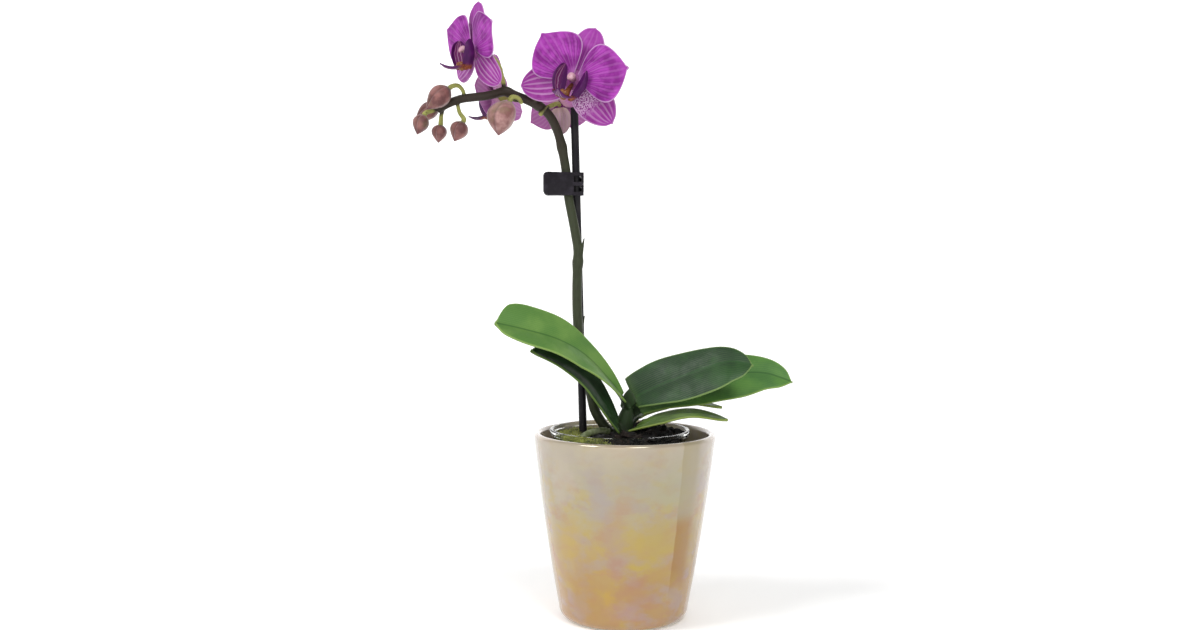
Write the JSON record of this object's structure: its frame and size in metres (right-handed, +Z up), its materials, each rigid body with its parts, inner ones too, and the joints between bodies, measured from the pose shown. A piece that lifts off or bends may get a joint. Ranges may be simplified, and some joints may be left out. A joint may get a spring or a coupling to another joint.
{
  "type": "potted miniature moth orchid",
  "caption": "Miniature moth orchid with an arched spike of magenta blooms and buds, held to a stake by a sprung clip, in a clear inner pot inside a glazed pot.",
  "frame": {"origin": "centre of the ceramic pot's foot, on the surface that it stands on", "axes": "+Z up, the front with the largest bloom faces -Y, and the flower spike arches towards -X"},
  "size_m": [0.1879, 0.0896, 0.3003],
  "materials": {
    "pot_glaze": "gloss",
    "clear_plastic": "gloss",
    "bark": "matte",
    "moss": "matte",
    "root": "satin",
    "leaf": "satin",
    "stem": "satin",
    "petal": "satin",
    "lip": "satin",
    "column": "satin",
    "bud": "satin",
    "stake_plastic": "satin",
    "clip_plastic": "satin",
    "spring_steel": "polished"
  },
  "bodies": {
    "root": {"ceramic_pot": "pot_glaze", "nursery_pot": "clear_plastic", "growing_medium": "bark", "moss": "moss", "stem_base": "leaf", "flower_spike": "stem", "support_stake": "stake_plastic", "clip_rear_jaw": "clip_plastic", "clip_hinge_pin": "clip_plastic", "clip_spring": "spring_steel", "aerial_root_left": "root", "aerial_root_right": "root", "leaf_left_upper": "leaf", "leaf_left_lower": "leaf", "leaf_right_upper": "leaf", "leaf_right_long": "leaf", "leaf_right_back": "leaf", "leaf_right_low": "leaf", "bud_1": "bud", "bud_2": "bud", "bud_3": "bud", "bud_4": "bud", "bud_5": "bud", "bud_6": "bud", "bloom_1_upper_sepal": "petal", "bloom_1_right_sepal": "petal", "bloom_1_left_sepal": "petal", "bloom_1_right_petal": "petal", "bloom_1_left_petal": "petal", "bloom_1_lip": "lip", "bloom_1_column": "column", "bloom_2_upper_sepal": "petal", "bloom_2_right_sepal": "petal", "bloom_2_left_sepal": "petal", "bloom_2_right_petal": "petal", "bloom_2_left_petal": "petal", "bloom_2_lip": "lip", "bloom_2_column": "column", "bloom_3_upper_sepal": "petal", "bloom_3_right_sepal": "petal", "bloom_3_left_sepal": "petal", "bloom_3_right_petal": "petal", "bloom_3_left_petal": "petal", "bloom_3_lip": "lip", "bloom_3_column": "column", "bloom_4_upper_sepal": "petal", "bloom_4_right_sepal": "petal", "bloom_4_left_sepal": "petal", "bloom_4_right_petal": "petal", "bloom_4_left_petal": "petal", "bloom_4_lip": "lip", "bloom_4_column": "column"},
    "clip_jaw": {"clip_front_jaw": "clip_plastic"}
  },
  "joints": [
    {"name": "clip_hinge", "type": "hinge", "parent": "root", "child": "clip_jaw", "pos_m": [-0.03429, 0.00407, 0.214], "axis": [0, 0, -1], "range_deg": [0, 35], "stiffness_Nm_per_rad": 0.015, "springref_deg": -28.65}
  ]
}
